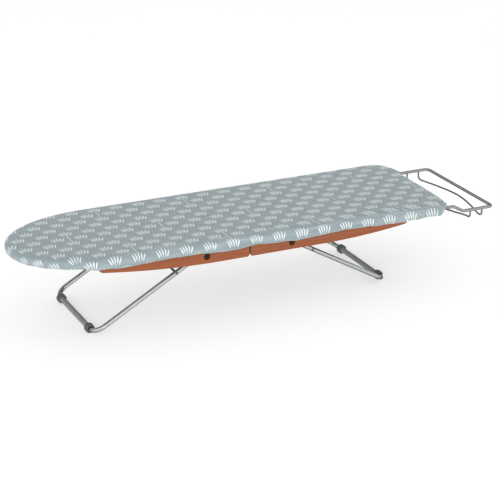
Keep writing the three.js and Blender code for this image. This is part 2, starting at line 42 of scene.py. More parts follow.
# ---- Sizes taken from the frame ----
COVER_LOW, COVER_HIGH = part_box("nose_cover")[0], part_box("square_cover")[1]
NOSE_X, SQUARE_X = COVER_LOW.x, COVER_HIGH.x
HALF_WIDTH = COVER_HIGH.y
DECK_TOP = COVER_HIGH.z
RAIL_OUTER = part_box("nose_rail_back")[1].y
RAIL_NOSE_X, RAIL_SQUARE_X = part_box("nose_rail_back")[0].x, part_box("square_rail_back")[1].x
FELT_LOW, FELT_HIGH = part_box("square_felt")
REST_ROD_RADIUS = 3.5 * MM
ARM_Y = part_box("rest_frame")[1].y - REST_ROD_RADIUS

# ---- Cover, in metres ----
NOSE_LENGTH = 0.210  # the nose is half an ellipse this long
TOP_CORNER = 0.055  # the top turns wider corners than the skirt, which the rest's arms push out
SKIRT_CORNER = 0.021
END_BOW = 0.004  # the square end's edge bows out by this in its middle
SQUARE_EDGE = 0.03  # points this near the square end count as its edge, where the rest's arms are
SHOULDER = 0.009  # the rounding at the top edge is this deep, and SHOULDER_WIDE across
SHOULDER_WIDE = 0.015
STEP = 0.006  # mesh spacing along the edge
CORNER_EDGE, NOSE_EDGE = 0.07, 0.285  # edge shared out among a corner's and half the nose's columns
SPINE_NOSE, SPINE_SQUARE = 0.13, 0.11  # the top's middle line stops this far short of the two ends
HEM_MIDDLE = 0.475  # from the nose to the deck's middle, where HEM_LINE has its zero
# Where the hem hangs, as distance from there towards the square end, and height above the table, in
# millimetres: it sags between the places that hold it.
HEM_LINE = ((-475, 157), (-323, 157), (-275, 153.6), (-235, 155), (-180, 156.3), (-120, 155.3),
            (-55, 151.2), (-22, 151.2), (8, 155), (40, 152), (80, 150.6), (112, 148.6), (160, 151),
            (215, 153.5), (265, 152.4), (310, 149.6), (360, 148.4), (475, 150.5))
HEM_DRAW = 0.0068  # the elastic draws the hem in by this
DRAW_CURVE = 2.2  # and the skirt above it by less, with its height to this power
RAIL_ROOM = 0.0028  # from a rail to the outside of the hem that lies against it
RAIL_BULGE = 0.0014  # a rail's end pushes the skirt this far past the deck's outline
RAIL_REACH = 0.006  # the skirt clears a rail this far past its end
RAIL_EASE = 0.02  # and is drawn in less from this far before it
LEAST_DRAW = 0.0005  # the hem is drawn in by this even where a rail is close
ARM_LIFT = 0.0178  # the hem rides up this much over each arm of the rest
ARM_LIFT_REACH = 0.027  # and comes down again over this length to either side
ARM_PUSH = 0.003  # the arms hold the skirt out by this at their corners
ARM_PUSH_REACH = 0.045
ARM_SLACK_REACH = 0.06  # the hem isn't drawn in this near an arm
ARM_SMOOTH_REACH = 0.05  # nor gathered this near it
CLOTH = 0.0008  # thickness
HEM_TURN = 0.009  # height of the turned-in strip
HEM_THICK = 0.0028  # from the skirt to the turned strip, where a rail leaves room for it
HEM_ROOM = 0.014  # a skirt shorter than this has a narrower turned hem
HEM_LEAST = 0.12  # of its height, and HEM_FLAT of its thickness, are left where room is short
HEM_FLAT = 0.08
HEM_GAP = 0.0002  # between the turned strip and a rail
# The turned hem's rings: steps inward and up from the hem, and the cloth's length to each.
HEM_SECTION = ((0.0011, -0.0007, 0.001), (0.0022, 0.0002, 0.001), (0.0026, 0.0035, 0.001),
               (HEM_THICK, HEM_TURN, HEM_TURN))
GATHER = 0.07  # the share by which the hem is cut longer than the edge it is drawn in to
HEM_HOLD = 0.45  # how firmly the elastic holds the hem while the cloth settles
SETTLE_FRAMES = 20
MAX_PUCKER = 0.0028  # the most that a point moves then
CREASE_DEPTH = 0.005  # of the soft creases along the skirt
# Small waves round the edge, as (waves in the whole edge, size, phase).
HEM_WAVES = ((47, 0.0004, 0.4), (71, 0.0003, 2.0))
PUCKER_WAVES = ((53, 0.00035, 0.3), (71, 0.0003, 1.7), (97, 0.00025, 0.9))


def srgb(r, g, b):
    """Linear colour of an sRGB colour given in 0..255."""
    def linear(c):
        c /= 255
        return c / 12.92 if c <= 0.04045 else ((c + 0.055) / 1.055) ** 2.4
    return (linear(r), linear(g), linear(b), 1)


# ---- Node graphs ----
class Graph:
    """A material's nodes, with short calls for the ones that the looks are made of."""

    def __init__(self, name, roughness=0.5, metallic=0.0, **sockets):
        self.material = bpy.data.materials.new(name)
        self.material.use_nodes = True
        self.tree = self.material.node_tree
        self.shader = self.tree.nodes["Principled BSDF"]
        self.put(self.shader, "Roughness", roughness)
        self.put(self.shader, "Metallic", metallic)
        for socket, value in sockets.items():
            self.put(self.shader, socket.replace("_", " "), value)

    def put(self, node, socket, value):
        if hasattr(value, "is_output"):
            self.tree.links.new(value, node.inputs[socket])
        else:
            node.inputs[socket].default_value = value

    def node(self, kind, out=0, settings=(), **sockets):
        made = self.tree.nodes.new(kind)
        for key, value in dict(settings).items():
            setattr(made, key, value)
        for socket, value in sockets.items():
            self.put(made, socket.replace("_", " "), value)
        return made.outputs[out]

    def math(self, operation, a, b=0.0, c=0.0):
        made = self.tree.nodes.new("ShaderNodeMath")
        made.operation = operation
        for i, value in enumerate((a, b, c)):
            self.put(made, i, value)
        return made.outputs[0]

    def place(self, scale=(1, 1, 1), turn=(0, 0, 0), move=(0, 0, 0), attribute=None):
        """The point on the object at rest, or a named attribute, moved, turned and scaled."""
        if attribute:
            source = self.node("ShaderNodeAttribute", "Vector", {"attribute_name": attribute})
        else:
            source = self.node("ShaderNodeTexCoord", "Object")
        moved = self.tree.nodes.new("ShaderNodeVectorMath")
        moved.operation = "ADD"
        self.put(moved, 0, source)
        self.put(moved, 1, move)
        return self.node("ShaderNodeMapping", Vector=moved.outputs[0], Rotation=turn, Scale=scale)

    def scaled(self, vector, scale):
        return self.node("ShaderNodeMapping", Vector=vector, Scale=scale)

    def parts(self, vector):
        split = self.tree.nodes.new("ShaderNodeSeparateXYZ")
        self.put(split, 0, vector)
        return split.outputs[0], split.outputs[1], split.outputs[2]

    def noise(self, vector, scale, detail=3.0, roughness=0.5, distortion=0.0):
        return self.node("ShaderNodeTexNoise", 0, Vector=vector, Scale=scale, Detail=detail,
                         Roughness=roughness, Distortion=distortion)

    def ramp(self, factor, *stops):
        made = self.tree.nodes.new("ShaderNodeValToRGB")
        elements = made.color_ramp.elements
        while len(elements) < len(stops):
            elements.new(0.5)
        for element, (position, colour) in zip(elements, stops):
            element.position = position
            element.color = colour
        self.put(made, 0, factor)
        return made.outputs[0]

    def span(self, value, low, high, to_low=0.0, to_high=1.0, smooth=False):
        made = self.tree.nodes.new("ShaderNodeMapRange")
        made.interpolation_type = "SMOOTHSTEP" if smooth else "LINEAR"
        for i, number in enumerate((value, low, high, to_low, to_high)):
            self.put(made, i, number)
        return made.outputs[0]

    def mix(self, factor, a, b):
        made = self.tree.nodes.new("ShaderNodeMix")
        made.data_type = "RGBA"
        for i, value in ((0, factor), (6, a), (7, b)):
            self.put(made, i, value)
        return made.outputs[2]

    def colour(self, value):
        self.put(self.shader, "Base Color", value)

    def rough(self, value):
        self.put(self.shader, "Roughness", value)

    def bump(self, height, distance, strength=1.0):
        self.put(self.shader, "Normal",
                 self.node("ShaderNodeBump", Height=height, Distance=distance, Strength=strength))


def brick(graph, x, y, wide, tall):
    """The point's place in its cell of a brick lattice, in metres from the cell's middle."""
    row = graph.math("FLOOR", graph.math("DIVIDE", y, tall))
    shift = graph.math("MULTIPLY", graph.math("PINGPONG", row, 1.0), wide / 2)
    across = graph.math("WRAP", graph.math("ADD", x, shift), wide / 2, -wide / 2)
    up = graph.math("WRAP", y, tall, 0.0)
    return across, graph.math("SUBTRACT", up, tall / 2)


# The print: a small fan of leaves, and now and then a long thin stem below one.
PRINT_ORIGIN = (-0.20375, 0.014, 0.0)  # the middle of one fan with a stem
PRINT_TURN = math.radians(1.3)
FAN_WIDE, FAN_TALL = 0.050, 0.0274
FAN_ROOT = 0.036  # the leaves point away from a spot this far below the fan's middle
LEAF_STEP = math.radians(9.3)  # from one leaf to the next
LEAF_LAST = 2  # leaves on each side of the middle one
LEAF_INNER, LEAF_OUTER = 0.0266, 0.0464  # a leaf's ends, from the same spot
LEAF_DROP = 0.0008  # the leaves next to the middle one lie this much lower, the outer ones 4 times
LEAF_HALF = 0.00125  # half width
LEAF_FUZZ = 0.0004  # the edges wander by this
LEAF_SOFT = (-0.00015, 0.0002)  # and fade over this
VEIN_HALF, VEIN_SHARE = 0.0003, 0.4  # half width, and the share of the print that it takes away
# The strokes below a fan: half width, and both ends' heights from the fan's middle.
STALK_HALF, STALK_LOW, STALK_HIGH = 0.0004, -0.0135, -0.0085
STEM_HALF, STEM_LOW, STEM_HIGH = 0.0006, -0.0418, -0.008
THREAD = 0.0007  # from one thread of the weave to the next


def stroke(graph, across, up, half, low, high):
    """1 in an upright stroke of that half width between two heights, and 0 elsewhere."""
    within = graph.math("LESS_THAN", graph.math("ABSOLUTE", across), half)
    ends = graph.math("MULTIPLY", graph.math("GREATER_THAN", up, low),
                      graph.math("LESS_THAN", up, high))
    return graph.math("MULTIPLY", within, ends)


def leaf_print(graph):
    """How much print there is, 0 to 1, and the place in the cloth that it is worked out from."""
    place = graph.place(turn=(0, 0, PRINT_TURN), attribute="cloth",
                        move=tuple(-v for v in PRINT_ORIGIN))
    x, y, _ = graph.parts(place)
    fuzz = graph.noise(place, 900.0, 2.0)
    across, up = brick(graph, x, graph.math("ADD", y, FAN_TALL / 2), FAN_WIDE, FAN_TALL)
    base = graph.math("ADD", up, FAN_ROOT)
    reach = graph.math("SQRT", graph.math("ADD", graph.math("MULTIPLY", across, across),
                                          graph.math("MULTIPLY", base, base)))
    turn = graph.math("ARCTAN2", across, base)
    leaf = graph.math("ROUND", graph.math("DIVIDE", turn, LEAF_STEP))
    leaf = graph.math("MAXIMUM", graph.math("MINIMUM", leaf, LEAF_LAST), -LEAF_LAST)
    off = graph.math("SUBTRACT", turn, graph.math("MULTIPLY", leaf, LEAF_STEP))
    off = graph.math("MULTIPLY", graph.math("ABSOLUTE", off), reach)
    lower = graph.math("MULTIPLY", graph.math("MULTIPLY", leaf, leaf), LEAF_DROP)
    along = graph.span(graph.math("ADD", reach, lower), LEAF_INNER, LEAF_OUTER, -1.0, 1.0)
    round_end = graph.math("SQRT", graph.math("MAXIMUM", 0.0, graph.math(
        "SUBTRACT", 1.0, graph.math("MULTIPLY", along, along))))
    edge = graph.math("SUBTRACT", graph.math("MULTIPLY", LEAF_HALF, round_end), off)
    edge = graph.math("ADD", edge, graph.span(fuzz, 0.0, 1.0, -LEAF_FUZZ, LEAF_FUZZ))
    leaves = graph.span(edge, *LEAF_SOFT, smooth=True)
    vein = graph.math("LESS_THAN", off, VEIN_HALF)
    leaves = graph.math("MULTIPLY", leaves, graph.math("SUBTRACT", 1.0, graph.math(
        "MULTIPLY", vein, VEIN_SHARE)))
    stalk = stroke(graph, across, up, STALK_HALF, STALK_LOW, STALK_HIGH)
    long_x, long_y = brick(graph, x, graph.math("ADD", y, 2 * FAN_TALL), 4 * FAN_WIDE,
                           4 * FAN_TALL)
    stem = stroke(graph, long_x, long_y, STEM_HALF, STEM_LOW, STEM_HIGH)
    return graph.math("MAXIMUM", leaves, graph.math("MAXIMUM", stalk, stem)), place


def cover_material():
    graph = Graph("cover_cotton", roughness=0.85, Sheen_Weight=0.25, Sheen_Roughness=0.5)
    printed, place = leaf_print(graph)
    x, y, _ = graph.parts(place)
    thread = 2 * math.pi / THREAD
    warp = graph.math("SINE", graph.math("MULTIPLY", x, thread))
    weft = graph.math("SINE", graph.math("MULTIPLY", y, thread))
    weave = graph.math("MULTIPLY", warp, weft)
    blotch = graph.noise(place, 14.0, 4.0)
    slub = graph.noise(graph.scaled(place, (40, 900, 1)), 1.0, 3.0)
    ground = graph.mix(graph.span(weave, -1, 1), srgb(124, 138, 143), srgb(140, 153, 157))
    ground = graph.mix(graph.span(blotch, 0.35, 0.65, 0.0, 0.35), ground, srgb(126, 143, 146))
    ground = graph.mix(graph.span(slub, 0.4, 0.75, 0.0, 0.25), ground, srgb(150, 161, 164))
    side = graph.span(graph.math("ABSOLUTE", y), HALF_WIDTH - SHOULDER_WIDE, HALF_WIDTH + 0.004)
    crease = graph.noise(graph.scaled(place, (13, 75, 1)), 1.0, 3.0)
    # Painted highlight: on the shoulder and skirt, the ridges of the soft creases are painted paler, up to
    # half way to this pale grey.
    painted_crease_highlight = graph.math("MULTIPLY", side, graph.span(crease, 0.42, 0.68, 0.0, 0.5))
    ground = graph.mix(painted_crease_highlight, ground, srgb(172, 183, 185))
    graph.colour(graph.mix(graph.math("MULTIPLY", printed, 0.92), ground, srgb(232, 239, 239)))
    fine = graph.math("ADD", graph.math("MULTIPLY", weave, 0.00004),
                      graph.math("MULTIPLY", slub, 0.00005))
    graph.bump(graph.math("ADD", fine, graph.math(
        "MULTIPLY", graph.math("MULTIPLY", side, graph.math("SUBTRACT", crease, 0.5)),
        CREASE_DEPTH)), 1.0)
    return graph.material


def lining_material():
    """The cloth's wrong side, where the print shows through only faintly."""
    graph = Graph("cover_lining", roughness=0.9, Sheen_Weight=0.2)
    place = graph.place(attribute="cloth")
    x, y, _ = graph.parts(place)
    thread = 9000  # radians of the weave's wave in a metre of cloth
    weave = graph.math("MULTIPLY", graph.math("SINE", graph.math("MULTIPLY", x, thread)),
                       graph.math("SINE", graph.math("MULTIPLY", y, thread)))
    mottle = graph.noise(place, 60.0, 4.0)
    graph.colour(graph.mix(mottle, srgb(172, 183, 186), srgb(190, 199, 200)))
    graph.bump(weave, 0.0001, 0.6)
    return graph.material


def thread_material():
    graph = Graph("hem_thread", roughness=0.7, Sheen_Weight=0.3)
    twist = graph.noise(graph.place(), 1800.0, 2.0)
    graph.colour(graph.mix(twist, srgb(132, 146, 150), srgb(152, 164, 168)))
    graph.bump(twist, 0.0001, 0.6)
    return graph.material


def felt_material():
    graph = Graph("pad_felt", roughness=0.95, Sheen_Weight=0.5)
    place = graph.place()
    fibre = graph.noise(place, 700.0, 6.0, 0.75, 1.5)
    cloud = graph.noise(place, 35.0, 3.0)
    pale = graph.mix(cloud, srgb(205, 201, 192), srgb(226, 223, 216))
    graph.colour(graph.mix(graph.span(fibre, 0.35, 0.7), pale, srgb(178, 175, 170)))
    graph.bump(fibre, 0.0006, 0.8)
    return graph.material


def rail_material():
    graph = Graph("stained_wood", roughness=0.5, Specular_IOR_Level=0.3, Coat_Weight=0.08,
                  Coat_Roughness=0.3)
    long_grain = graph.place((1.4, 26, 26))
    warped = graph.noise(long_grain, 1.0, 4.0, 0.55, 0.8)
    rings = graph.node("ShaderNodeTexWave", 1, {"wave_type": "BANDS", "bands_direction": "Z"},
                       Vector=graph.place((0.35, 1, 1), move=(0, 0, 0.013)), Scale=34.0,
                       Distortion=7.0, Detail=3.0, Detail_Scale=1.2)
    pores = graph.noise(graph.place((38, 900, 900)), 1.0, 2.0)
    patch = graph.noise(graph.place((3, 12, 12), move=(0.3, 0, 0)), 1.0, 2.0)
    wood = graph.ramp(warped, (0.28, srgb(121, 63, 34)), (0.5, srgb(136, 74, 41)),
                      (0.72, srgb(149, 87, 52)))
    wood = graph.mix(graph.span(rings, 0.55, 1.0, 0.0, 0.35), wood, srgb(115, 58, 31))
    wood = graph.mix(graph.span(patch, 0.4, 0.7, 0.0, 0.3), wood, srgb(141, 74, 39))
    wood = graph.mix(graph.span(pores, 0.62, 0.72, 0.0, 0.5), wood, srgb(84, 42, 23))
    graph.colour(wood)
    graph.rough(graph.span(pores, 0.3, 0.8, 0.34, 0.55))
    graph.bump(graph.math("SUBTRACT", warped, graph.span(pores, 0.6, 0.72)), 0.00025, 0.5)
    return graph.material


def board_material():
    """Hardboard under the padding, dark brown with a fine fibrous face."""
    graph = Graph("hardboard", roughness=0.6)
    place = graph.place()
    chips = graph.node("ShaderNodeTexVoronoi", "Color", Vector=graph.place((90, 260, 260)),
                       Scale=1.0, Randomness=1.0)
    shade = graph.parts(chips)[0]
    fine = graph.noise(place, 500.0, 4.0)
    wood = graph.ramp(shade, (0.0, srgb(80, 60, 44)), (0.5, srgb(92, 70, 52)),
                      (1.0, srgb(106, 82, 62)))
    graph.colour(graph.mix(graph.span(fine, 0.4, 0.7, 0.0, 0.35), wood, srgb(66, 48, 34)))
    graph.bump(graph.math("ADD", fine, graph.math("MULTIPLY", shade, 0.4)), 0.0002, 0.6)
    return graph.material


# Painted reflection: the near black that metal outlines are painted towards, in place of dark surroundings
# reflected at grazing angles.
PAINTED_REFLECTION_DARK = (0.01, 0.0105, 0.011, 1)


def metal_material(name, dark, light, roughness, metallic, edge=0.0):
    """Painted or plated metal with a fine surface grain and slight changes of gloss. Where edge is given,
    its outline is painted darker by that share, a painted reflection of the dark bands that polished round
    bar shows."""
    graph = Graph(name, roughness, metallic)
    place = graph.place()
    fine = graph.noise(place, 2000.0, 2.0)
    cloud = graph.noise(place, 30.0, 4.0)
    plain = graph.mix(graph.math("MULTIPLY", graph.math("ADD", fine, cloud), 0.5), dark, light)
    facing = graph.node("ShaderNodeLayerWeight", "Facing", Blend=0.5)
    # Painted reflection: darker towards the outline as the part is seen, by the share edge.
    outline = graph.span(facing, 0.12, 0.62, 0.0, edge, smooth=True)
    graph.colour(graph.mix(outline, plain, PAINTED_REFLECTION_DARK))
    graph.rough(graph.span(cloud, 0.3, 0.7, roughness - 0.06, roughness + 0.08))
    graph.bump(fine, 0.00003, 0.6)
    return graph.material


RIB_STEP = 2 * MM


def grip_material():
    """Soft grey foot sleeve with fine moulded ribs round it."""
    graph = Graph("grey_grip", roughness=0.62)
    place = graph.place()
    _, y, _ = graph.parts(place)
    ribs = graph.math("SINE", graph.math("MULTIPLY", y, 2 * math.pi / RIB_STEP))
    fine = graph.noise(place, 1500.0, 2.0)
    cloud = graph.noise(place, 40.0, 3.0)
    grey = graph.mix(cloud, srgb(118, 125, 127), srgb(138, 145, 146))
    # Painted shade: the grooves between the ribs are painted darker, up to half way to this dark grey.
    graph.colour(graph.mix(graph.span(ribs, -1.0, -0.3, 0.5, 0.0), grey, srgb(86, 92, 94)))
    graph.bump(graph.math("ADD", ribs, graph.math("MULTIPLY", fine, 0.4)), 0.0002, 0.8)
    return graph.material


def rubber_material():
    graph = Graph("dark_rubber", roughness=0.7)
    place = graph.place()
    fine = graph.noise(place, 1200.0, 3.0)
    dust = graph.noise(place, 60.0, 5.0, 0.7)
    black = graph.mix(fine, srgb(64, 67, 68), srgb(88, 92, 93))
    graph.colour(graph.mix(graph.span(dust, 0.55, 0.8, 0.0, 0.3), black, srgb(104, 108, 109)))
    graph.bump(fine, 0.0001, 0.7)
    return graph.material


# ---- The deck's outline ----
def deck_outline(corner, columns):
    """Points of the deck's edge, anticlockwise from the middle of the square end, the same number
    in each stretch whatever the corner is, so that two outlines match point by point."""
    end, nose = columns
    x_end, centre = SQUARE_X, NOSE_X + NOSE_LENGTH
    side = max(2, round((x_end - centre) / STEP))
    turn = max(6, round(CORNER_EDGE / STEP))
    flat = HALF_WIDTH - corner
    points = []
    for i in range(end):
        y = flat * i / end
        points.append((x_end - END_BOW * (y / HALF_WIDTH) ** 2, y))
    start = x_end - END_BOW * (flat / HALF_WIDTH) ** 2
    for i in range(turn):
        a = math.pi / 2 * i / turn
        points.append((start - corner + corner * math.cos(a), flat + corner * math.sin(a)))
    for i in range(side):
        points.append((start - corner + (centre - start + corner) * i / side, HALF_WIDTH))
    for i in range(nose):
        a = math.pi / 2 * i / nose
        points.append((centre - NOSE_LENGTH * math.sin(a), HALF_WIDTH * math.cos(a)))
    points.append((NOSE_X, 0.0))
    other = [(x, -y) for x, y in reversed(points[1:-1])]
    return np.array(points + other)


def outward(points):
    """Unit normals of a closed outline that runs anticlockwise."""
    along = np.roll(points, -1, 0) - np.roll(points, 1, 0)
    along /= np.linalg.norm(along, axis=1)[:, None]
    return np.stack([along[:, 1], -along[:, 0]], 1)


COLUMNS = (round((HALF_WIDTH - SKIRT_CORNER) / STEP), round(NOSE_EDGE / STEP))
TOP_LINE = deck_outline(TOP_CORNER, COLUMNS)
SKIRT_LINE = deck_outline(SKIRT_CORNER, COLUMNS)
COUNT = len(TOP_LINE)
LENGTHS = np.linalg.norm(np.roll(SKIRT_LINE, -1, 0) - SKIRT_LINE, axis=1)
ARC = np.concatenate([[0], np.cumsum(LENGTHS)[:-1]])
PERIMETER = LENGTHS.sum()


def line_at(square, inset):
    """The outline between the top's, at 0, and the skirt's, at 1, moved in by inset."""
    points = TOP_LINE * (1 - square) + SKIRT_LINE * square
    return points - outward(points) * np.reshape(inset, (-1, 1))


def spine():
    """The middle line that the top's columns run out from."""
    x = np.clip(TOP_LINE[:, 0], NOSE_X + SPINE_NOSE, SQUARE_X - SPINE_SQUARE)
    return np.stack([x, np.zeros(COUNT)], 1)


def ripple(terms):
    """A smooth wave round the edge that closes on itself, made of (waves round, size, phase)."""
    t = 2 * math.pi * ARC / PERIMETER
    return sum(size * np.sin(waves * t + phase) for waves, size, phase in terms)


def arm_bell(reach):
    """1 where an arm of the rest leaves the cover, falling to 0 that far to either side."""
    bell = np.zeros(COUNT)
    for side in (-1, 1):
        elsewhere = SKIRT_LINE[:, 0] < SQUARE_X - SQUARE_EDGE
        near = np.argmin(np.abs(SKIRT_LINE[:, 1] - side * ARM_Y) + np.where(elsewhere, 1, 0))
        gap = np.abs((ARC - ARC[near] + PERIMETER / 2) % PERIMETER - PERIMETER / 2)
        bell = np.maximum(bell, 0.5 + 0.5 * np.cos(np.pi * np.clip(gap / reach, 0, 1)))
    return bell


def loft(rings):
    """Vertices and quads of rings of COUNT points each, every ring joined to the next."""
    verts = np.concatenate(rings)
    faces = []
    for r in range(len(rings) - 1):
        a, b = r * COUNT, (r + 1) * COUNT
        for i in range(COUNT):
            j = (i + 1) % COUNT
            faces.append((a + i, b + i, b + j, a + j))
    return verts, faces


def new_object(name, verts, faces, materials):
    mesh = bpy.data.meshes.new(name)
    mesh.from_pydata([tuple(map(float, v)) for v in verts], [], faces)
    mesh.update()
    made = bpy.data.objects.new(name, mesh)
    bpy.context.scene.collection.objects.link(made)
    for material in materials:
        mesh.materials.append(material)
    mesh.shade_smooth()
    return made


def with_height(line, z):
    return np.column_stack([line, np.broadcast_to(z, (COUNT,))])


def hem_height():
    """The hem's height at each column, smooth between the points of HEM_LINE."""
    x, z = np.array(HEM_LINE).T * MM
    at = (SKIRT_LINE[:, 0] - NOSE_X) - HEM_MIDDLE
    k = np.clip(np.searchsorted(x, at) - 1, 0, len(x) - 2)
    t = np.clip((at - x[k]) / (x[k + 1] - x[k]), 0, 1)
    return z[k] + (z[k + 1] - z[k]) * t * t * (3 - 2 * t)


def smoothed(values, times):
    for _ in range(times):
        values = (np.roll(values, 1) + 2 * values + np.roll(values, -1)) / 4
    return values


def beside_rails(x, reach):
    """Which of these lie between the outer ends of the rails, or within reach of them."""
    return (x > RAIL_NOSE_X - reach) & (x < RAIL_SQUARE_X + reach)


TOP_RINGS = 16
SHOULDER_RINGS = 6
SHOULDER_SHARE = 0.75  # of the change from the top's outline to the skirt's
SHOULDER_ARC = math.pi / 2 * math.sqrt((SHOULDER ** 2 + SHOULDER_WIDE ** 2) / 2)
SKIRT_RINGS = 7
FIRST_LOOSE = TOP_RINGS + 3  # the first ring that isn't pinned while the cloth settles


def cover_rings():
    """The cover's rings from the middle of the top to the hem, and each ring's distance along the
    cloth from where the shoulder starts, or None within the top."""
    rings, past = [], []
    middle, rim = spine(), line_at(0.0, SHOULDER_WIDE)
    for r in range(TOP_RINGS + 1):
        t = r / TOP_RINGS
        rings.append(with_height(middle * (1 - t) + rim * t, DECK_TOP))
        past.append(None)
    for r in range(1, SHOULDER_RINGS + 1):
        a = math.pi / 2 * r / SHOULDER_RINGS
        line = line_at(SHOULDER_SHARE * r / SHOULDER_RINGS, SHOULDER_WIDE * (1 - math.sin(a)))
        rings.append(with_height(line, DECK_TOP - SHOULDER * (1 - math.cos(a))))
        past.append(SHOULDER_ARC * r / SHOULDER_RINGS)
    hem = hem_height() + ripple(HEM_WAVES)
    hem = hem + ARM_LIFT * arm_bell(ARM_LIFT_REACH)
    start = DECK_TOP - SHOULDER
    beside = beside_rails(SKIRT_LINE[:, 0], RAIL_EASE)
    room = np.where(beside, np.abs(SKIRT_LINE[:, 1]) - RAIL_OUTER - RAIL_ROOM, HEM_DRAW)
    room = smoothed(np.clip(room, LEAST_DRAW, HEM_DRAW), times=4)
    for r in range(1, SKIRT_RINGS + 1):
        t = r / SKIRT_RINGS
        inset = room * t ** DRAW_CURVE * (1 - arm_bell(ARM_SLACK_REACH))
        inset = inset - ARM_PUSH * arm_bell(ARM_PUSH_REACH) * math.sin(math.pi * t)
        line = line_at(SHOULDER_SHARE + (1 - SHOULDER_SHARE) * t, inset)
        rings.append(with_height(line, start + (hem - start) * t))
        past.append(SHOULDER_ARC + (start - hem.mean()) * t)
    return rings, past


def simulate(cover, gather, hold):
    """Lets the cloth settle. The gather weights make it longer than the edge that holds it, so the
    skirt puckers; hold pins the top and, softly, the hem."""
    for name, weights in (("gather", gather), ("hold", hold)):
        group = cover.vertex_groups.new(name=name)
        for i, weight in enumerate(weights):
            if weight > 0:
                group.add([i], float(weight), "REPLACE")
    cloth = cover.modifiers.new("cloth", "CLOTH")
    settings = cloth.settings
    settings.quality = 6
    settings.mass = 0.25
    settings.tension_stiffness = 25
    settings.compression_stiffness = 25
    settings.shear_stiffness = 12
    settings.bending_stiffness = 0.6
    settings.air_damping = 3
    settings.vertex_group_mass = "hold"
    settings.pin_stiffness = 0.8
    settings.vertex_group_shrink = "gather"
    settings.shrink_min = 0.0
    settings.shrink_max = -GATHER
    settings.effector_weights.gravity = 0
    cloth.collision_settings.use_collision = False
    cloth.collision_settings.use_self_collision = False
    cloth.point_cache.frame_start = 1
    cloth.point_cache.frame_end = SETTLE_FRAMES
    scene = bpy.context.scene
    for f in range(1, SETTLE_FRAMES + 1):
        scene.frame_set(f)
    evaluated = cover.evaluated_get(bpy.context.evaluated_depsgraph_get())
    settled = np.empty(len(cover.data.vertices) * 3)
    evaluated.data.vertices.foreach_get("co", settled)
    cover.modifiers.remove(cloth)
    cover.vertex_groups.clear()
    scene.frame_set(1)
    return settled.reshape(-1, 3)


def capped(before, after, limit):
    """Points moved from before towards after, by limit at most."""
    move = after - before
    size = np.linalg.norm(move, axis=1)
    return before + move * (np.minimum(size, limit) / np.maximum(size, 1e-9))[:, None]


def clear_of_rails(verts):
    """Moves the skirt's points that fall within a rail, or too close to it, back outside."""
    x, y, z = verts.T
    outline = np.tile(np.abs(SKIRT_LINE[:, 1]), len(verts) // COUNT)
    nearest = np.minimum(RAIL_OUTER + RAIL_ROOM, outline + RAIL_BULGE)
    close = beside_rails(x, RAIL_REACH) & (z < DECK_TOP - SHOULDER) & (np.abs(y) < nearest)
    return np.column_stack([x, np.where(close, np.sign(y) * nearest, y), z])


def make_cover():
    """The cover, settled, hemmed and with its thickness, and the rings that it is made of."""
    rings, past = cover_rings()
    ring_count = len(rings)
    nudge = ripple(PUCKER_WAVES)
    for r in range(FIRST_LOOSE, ring_count):
        share = (r - FIRST_LOOSE + 1) / (ring_count - FIRST_LOOSE)
        rings[r][:, :2] += outward(rings[r][:, :2]) * (nudge * share)[:, None]
    verts, faces = loft(rings)
    ring = np.arange(len(verts)) // COUNT
    gather = np.clip((ring - FIRST_LOOSE + 1) / (ring_count - FIRST_LOOSE), 0, 1)
    gather = gather * (1 - np.tile(arm_bell(ARM_SMOOTH_REACH), ring_count))
    hold = np.where(ring < FIRST_LOOSE, 1.0, 0.0)
    hold = np.where(ring >= ring_count - 1, HEM_HOLD, hold)
    draft = new_object("cover_draft", verts, faces, [])
    settled = simulate(draft, gather, hold)
    bpy.data.objects.remove(draft)
    verts = capped(verts, settled, MAX_PUCKER)
    verts = clear_of_rails(verts)
    rings = [verts[r * COUNT:(r + 1) * COUNT] for r in range(ring_count)]
    rings, past = turn_hem(rings, past)
    verts, faces = loft(rings)
    cover = new_object("cover", verts, faces, [cover_material(), lining_material()])
    write_cloth_places(cover, rings, past)
    mend(cover)
    thicken = cover.modifiers.new("thickness", "SOLIDIFY")
    thicken.thickness = CLOTH
    thicken.offset = -1
    thicken.material_offset = 1
    thicken.material_offset_rim = 0
    return cover, rings


def turn_hem(rings, past):
    """Adds the hem's rolled edge and the turned-in strip."""
    edge, above = rings[-1], rings[-3]
    up = above - edge
    up /= np.linalg.norm(up, axis=1)[:, None]
    room = np.clip((DECK_TOP - SHOULDER - edge[:, 2]) / HEM_ROOM, HEM_LEAST, 1.0)[:, None]
    side = np.column_stack([outward(edge[:, :2]), np.zeros(COUNT)])
    spare = np.clip((np.abs(edge[:, 1]) - RAIL_OUTER - CLOTH - HEM_GAP) / HEM_THICK, HEM_FLAT, 1.0)
    thin = np.where(beside_rails(edge[:, 0], RAIL_REACH), spare, 1.0)[:, None]
    for step_in, rise, length in HEM_SECTION:
        rings.append(edge - side * step_in * thin + up * rise * room)
        past.append(past[-1] + length)
    return rings, past


def write_cloth_places(cover, rings, past):
    """Gives each point its place in the flat cloth, which the print and the weave follow."""
    rim = line_at(0.0, 0.0)
    normals = outward(rim)
    flat = []
    for ring, distance in zip(rings, past):
        if distance is None:
            flat.append(ring[:, :2])
        else:
            flat.append(rim + normals * (distance - SHOULDER_WIDE))
    flat = np.concatenate(flat)
    places = np.column_stack([flat, np.zeros(len(flat))]).astype(np.float32)
    attribute = cover.data.attributes.new("cloth", "FLOAT_VECTOR", "POINT")
    attribute.data.foreach_set("vector", places.ravel())


